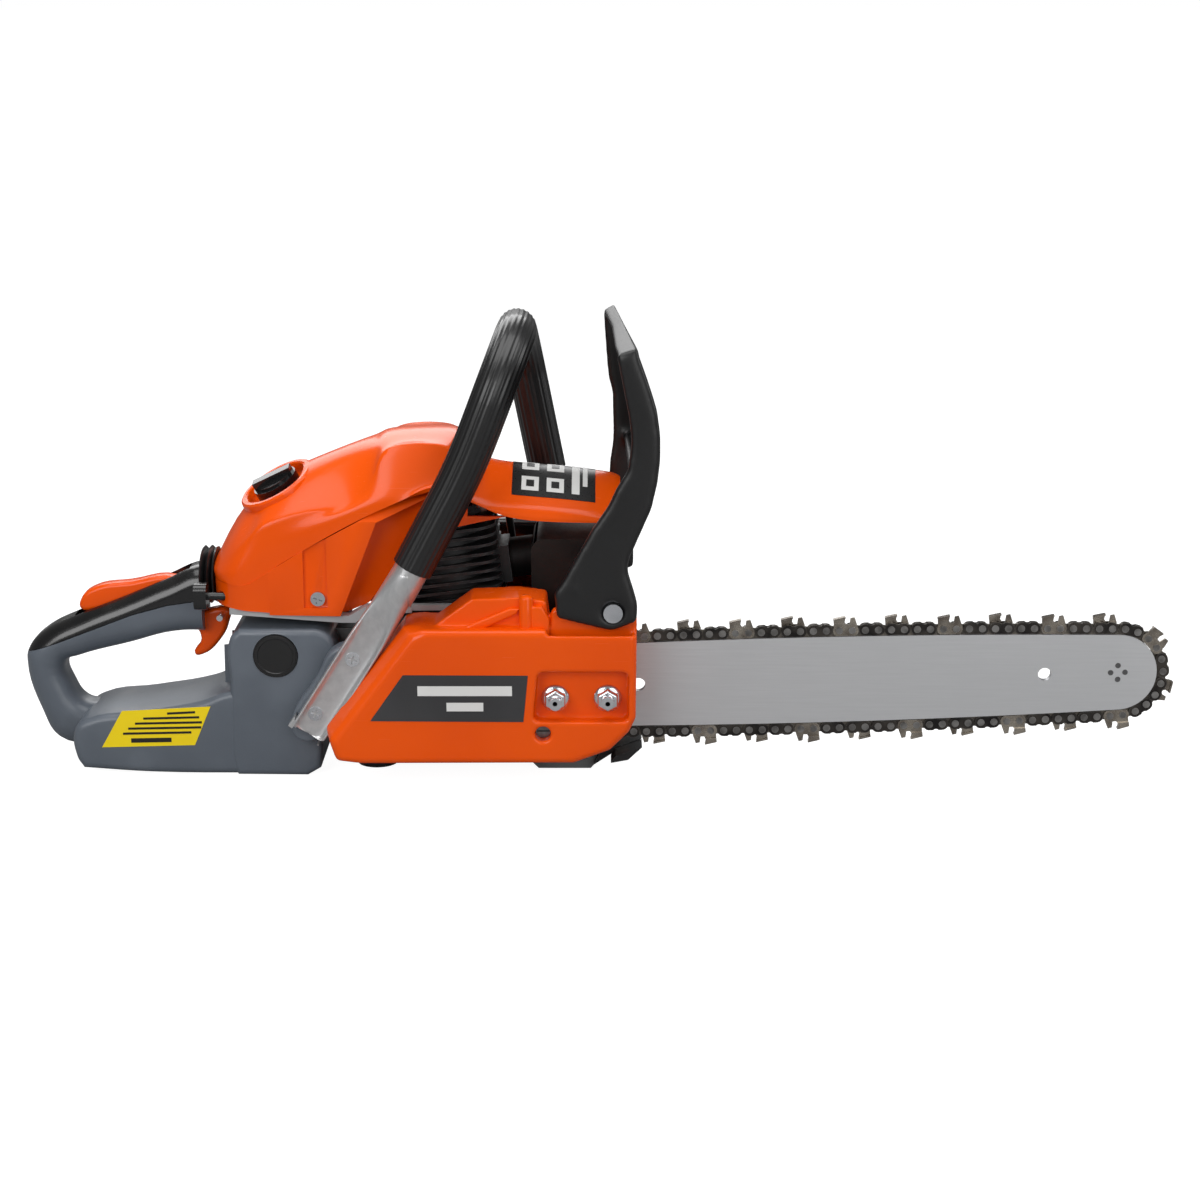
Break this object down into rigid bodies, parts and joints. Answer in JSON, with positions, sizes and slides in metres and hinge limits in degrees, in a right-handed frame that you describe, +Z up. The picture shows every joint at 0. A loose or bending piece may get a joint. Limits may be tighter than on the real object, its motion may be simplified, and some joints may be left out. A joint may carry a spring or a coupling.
{
  "type": "chainsaw",
  "caption": "Petrol chainsaw with a finned engine under an orange hood, guide bar and chain, bent front handle, hand guard and a rear handle with tank.",
  "frame": {"origin": "middle of the footprint's box, on the ground that the saw rests on", "axes": "+X along the guide bar to its nose, -Y the clutch side, +Z up"},
  "size_m": [0.7432, 0.206, 0.2966],
  "materials": {
    "orange_plastic": "glossy injection moulded",
    "grey_plastic": "fine grained moulding",
    "black_plastic": "satin moulding",
    "pale_plastic": "fine grained moulding",
    "filter_felt": "pleated felt",
    "black_rubber": "ribbed sleeve",
    "cast_alloy": "die cast",
    "black_alloy": "heat-resistant black coat",
    "handle_alloy": "brushed tube",
    "steel": "machined",
    "chain_steel": "blued and oiled",
    "bar_steel": "satin lacquer on steel",
    "cutter_steel": "chromed top plates",
    "zinc_steel": "bright zinc",
    "label_film": "printed film",
    "ceramic_steel": "glazed insulator with steel shell"
  },
  "bodies": {
    "saw": {"crankcase_right": "cast_alloy", "crankcase_left": "cast_alloy", "main_bearings": "steel", "cylinder": "black_alloy", "spark_plug": "ceramic_steel", "plug_boot": "black_rubber", "ignition_lead": "black_rubber", "ignition_coil": "black_plastic", "muffler": "steel", "brake_band": "steel", "oil_pump": "black_plastic", "clutch_cover": "orange_plastic", "decals": "label_film", "bar_studs": "zinc_steel", "bar_nuts": "zinc_steel", "chain_tensioner": "steel", "chain_catcher": "black_alloy", "guide_bar": "bar_steel", "nose_rivets": "steel", "drive_links": "chain_steel", "tie_straps": "chain_steel", "cutters_right": "cutter_steel", "cutters_left": "cutter_steel", "chain_rivets": "chain_steel", "filter_cover": "orange_plastic", "top_cover": "orange_plastic", "air_filter": "filter_felt", "carburettor": "cast_alloy", "intake_boot": "black_rubber", "base_plate": "pale_plastic", "rear_handle": "grey_plastic", "grip_cover": "black_plastic", "handle_boot": "black_rubber", "pivot_pins": "zinc_steel", "rubber_mounts": "black_rubber", "front_handle": "handle_alloy", "front_grip": "black_rubber", "screws": "zinc_steel", "starter_housing": "orange_plastic"},
    "crank": {"crankshaft": "steel", "flywheel": "cast_alloy", "clutch_hub": "steel", "clutch_shoes": "steel"},
    "drum": {"clutch_drum": "steel", "rim_sprocket": "steel"},
    "nose_wheel": {"nose_sprocket": "steel"},
    "piston_set": {"piston": "cast_alloy", "connecting_rod": "steel", "piston_pins": "steel"},
    "guard": {"hand_guard": "black_plastic"},
    "trigger": {"throttle_trigger": "orange_plastic"},
    "lockout": {"lockout_lever": "orange_plastic"},
    "throttle": {"throttle_lever": "steel"},
    "choke": {"choke_rod": "black_plastic"},
    "knob": {"filter_knob": "black_plastic"},
    "fuel_lid": {"fuel_cap": "black_plastic"},
    "oil_lid": {"oil_cap": "black_plastic"},
    "pulley": {"starter_pulley": "black_plastic"},
    "starter_pull": {"starter_grip": "black_plastic"},
    "switch": {"stop_switch": "black_plastic"}
  },
  "joints": [
    {"name": "crank_spin", "type": "hinge", "parent": "saw", "child": "crank", "pos_m": [-0.08563, -0.014, 0.059], "axis": [0, 1, 0], "continuous": true},
    {"name": "drum_spin", "type": "hinge", "parent": "saw", "child": "drum", "pos_m": [-0.08563, -0.062, 0.059], "axis": [0, 1, 0], "continuous": true, "deforming": ["drive_links", "tie_straps", "cutters_right", "cutters_left", "chain_rivets"]},
    {"name": "nose_spin", "type": "hinge", "parent": "saw", "child": "nose_wheel", "pos_m": [0.33522, -0.062, 0.07002], "axis": [0, 1, 0], "continuous": true, "deforming": ["drive_links", "tie_straps", "cutters_right", "cutters_left", "chain_rivets"]},
    {"name": "piston_stroke", "type": "slide", "parent": "saw", "child": "piston_set", "axis": [0.1219, 0, -0.9925], "range_m": [0, 0.034]},
    {"name": "guard_swing", "type": "hinge", "parent": "saw", "child": "guard", "pos_m": [0.01247, -0.062, 0.1187], "axis": [0, 1, 0], "range_deg": [0, 12]},
    {"name": "trigger_pull", "type": "hinge", "parent": "saw", "child": "trigger", "pos_m": [-0.24263, -0.017, 0.097], "axis": [0, 1, 0], "range_deg": [0, 16], "stiffness_Nm_per_rad": 0.3, "springref_deg": -17.19},
    {"name": "lockout_press", "type": "hinge", "parent": "saw", "child": "lockout", "pos_m": [-0.27163, -0.017, 0.114], "axis": [0, -1, 0], "range_deg": [0, 6], "stiffness_Nm_per_rad": 0.4, "springref_deg": -17.19},
    {"name": "throttle_turn", "type": "hinge", "parent": "saw", "child": "throttle", "pos_m": [-0.17163, 0.008, 0.127], "axis": [0, 1, 0], "range_deg": [0, 62.4]},
    {"name": "choke_pull", "type": "slide", "parent": "saw", "child": "choke", "axis": [-1, 0, 0], "range_m": [0, 0.012]},
    {"name": "knob_turn", "type": "hinge", "parent": "saw", "child": "knob", "pos_m": [-0.20363, -0.022, 0.184], "axis": [-0.454, -0.2156, 0.8645], "range_deg": [0, 270]},
    {"name": "fuel_cap_turn", "type": "hinge", "parent": "saw", "child": "fuel_lid", "pos_m": [-0.20763, 0.026, 0.03], "axis": [0, -1, 0], "range_deg": [0, 270]},
    {"name": "oil_cap_turn", "type": "hinge", "parent": "saw", "child": "oil_lid", "pos_m": [-0.00363, 0.022, 0.03], "axis": [0, -1, 0], "range_deg": [0, 270]},
    {"name": "starter_pull", "type": "slide", "parent": "saw", "child": "starter_pull", "axis": [0, 0, 1], "range_m": [0, 0.06], "stiffness_N_per_m": 20, "springref_m": -0.05},
    {"name": "pulley_turn", "type": "hinge", "parent": "saw", "child": "pulley", "pos_m": [-0.08563, 0.0605, 0.059], "axis": [0, -1, 0], "range_deg": [0, 143.25]},
    {"name": "switch_slide", "type": "slide", "parent": "saw", "child": "switch", "axis": [1, 0, 0], "range_m": [0, 0.005]}
  ],
  "couplings": [
    {"joint": "nose_spin", "follows": "drum_spin", "ratio": 0.63636},
    {"joint": "throttle_turn", "follows": "trigger_pull", "ratio": 3.9},
    {"joint": "pulley_turn", "follows": "starter_pull", "rad_per_m": 41.667}
  ]
}
